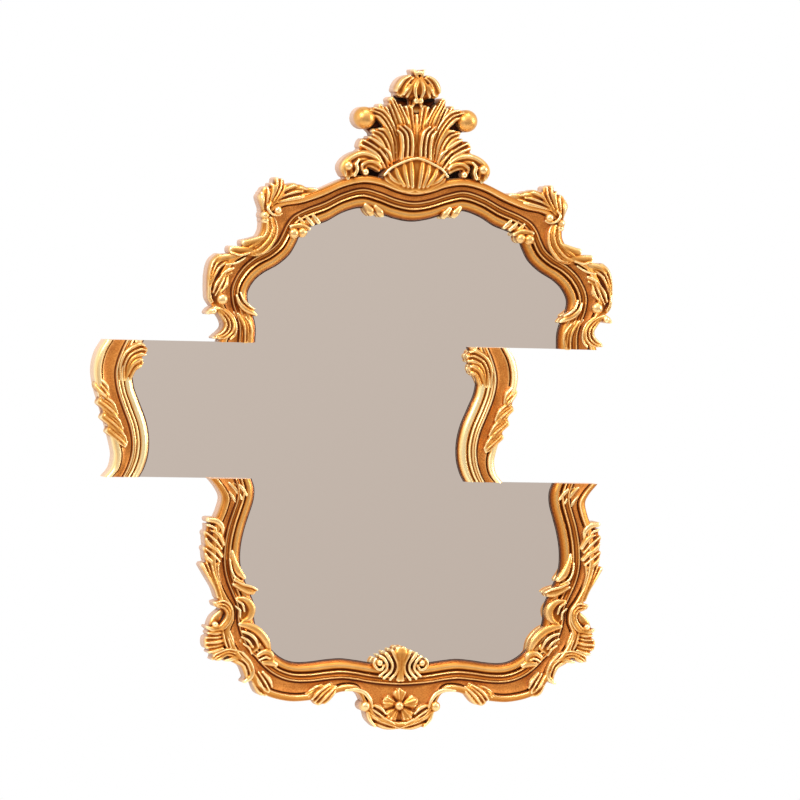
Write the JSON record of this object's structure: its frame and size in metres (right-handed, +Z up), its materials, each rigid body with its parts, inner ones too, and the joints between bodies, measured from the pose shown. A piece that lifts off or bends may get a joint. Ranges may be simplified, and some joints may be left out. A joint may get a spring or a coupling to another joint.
{
  "type": "mirror",
  "caption": "Gilded rococo wall mirror with a carved crest, whose frame and glass are sliced into bands, the middle band standing to the left; hangs on two keyhole plates",
  "frame": {"origin": "on the flat back of the castings and of the two keyhole plates, half way between the plates' entry holes, on the axis of symmetry of the upper and lower bands", "axes": "+Z up, +X to the viewer's right, +Y into the wall; the mirror faces -Y"},
  "size_m": [0.8041, 0.052, 1.0006],
  "materials": {
    "gilt_casting": "cast resin gilded in antique gold, burnished on the high places and matte brown in the hollows",
    "silvered_glass": "clear silvered glass with seamed edges",
    "fibreboard": "plain brown fibreboard",
    "zinc_steel": "zinc plated",
    "felt": "dark felt"
  },
  "bodies": {
    "root": {"frame_upper": "gilt_casting", "frame_lower": "gilt_casting", "frame_middle_right": "gilt_casting", "frame_middle_left": "gilt_casting", "crest_shell": "gilt_casting", "crest_palmette": "gilt_casting", "crest_bud": "gilt_casting", "bottom_shell": "gilt_casting", "pendant_rosette": "gilt_casting", "crest_scroll_right": "gilt_casting", "crest_scroll_left": "gilt_casting", "crest_acanthus_right": "gilt_casting", "crest_acanthus_left": "gilt_casting", "crest_foot_right": "gilt_casting", "crest_foot_left": "gilt_casting", "shoulder_spray_right": "gilt_casting", "shoulder_spray_left": "gilt_casting", "shoulder_leaf_right": "gilt_casting", "shoulder_leaf_left": "gilt_casting", "side_acanthus_right": "gilt_casting", "side_acanthus_left": "gilt_casting", "side_scroll_right": "gilt_casting", "side_scroll_left": "gilt_casting", "sight_husk_right": "gilt_casting", "sight_husk_left": "gilt_casting", "sight_leaf_right": "gilt_casting", "sight_leaf_left": "gilt_casting", "lower_leaf_right": "gilt_casting", "lower_leaf_left": "gilt_casting", "corner_scroll_right": "gilt_casting", "corner_scroll_left": "gilt_casting", "corner_leaf_right": "gilt_casting", "corner_leaf_left": "gilt_casting", "corner_sight_curls_right": "gilt_casting", "corner_sight_curls_left": "gilt_casting", "bottom_wrap_right": "gilt_casting", "bottom_wrap_left": "gilt_casting", "pendant_garland_right": "gilt_casting", "pendant_garland_left": "gilt_casting", "slice_leaf_right": "gilt_casting", "slice_leaf_left": "gilt_casting", "slice_wrap_right": "gilt_casting", "slice_wrap_left": "gilt_casting", "mirror_glass": "silvered_glass", "backing_board": "fibreboard", "keyhole_plate_left": "zinc_steel", "keyhole_plate_right": "zinc_steel", "plate_screws": "zinc_steel", "retaining_clips": "zinc_steel", "clip_screws": "zinc_steel", "wall_bumpers": "felt"}
  },
  "joints": []
}
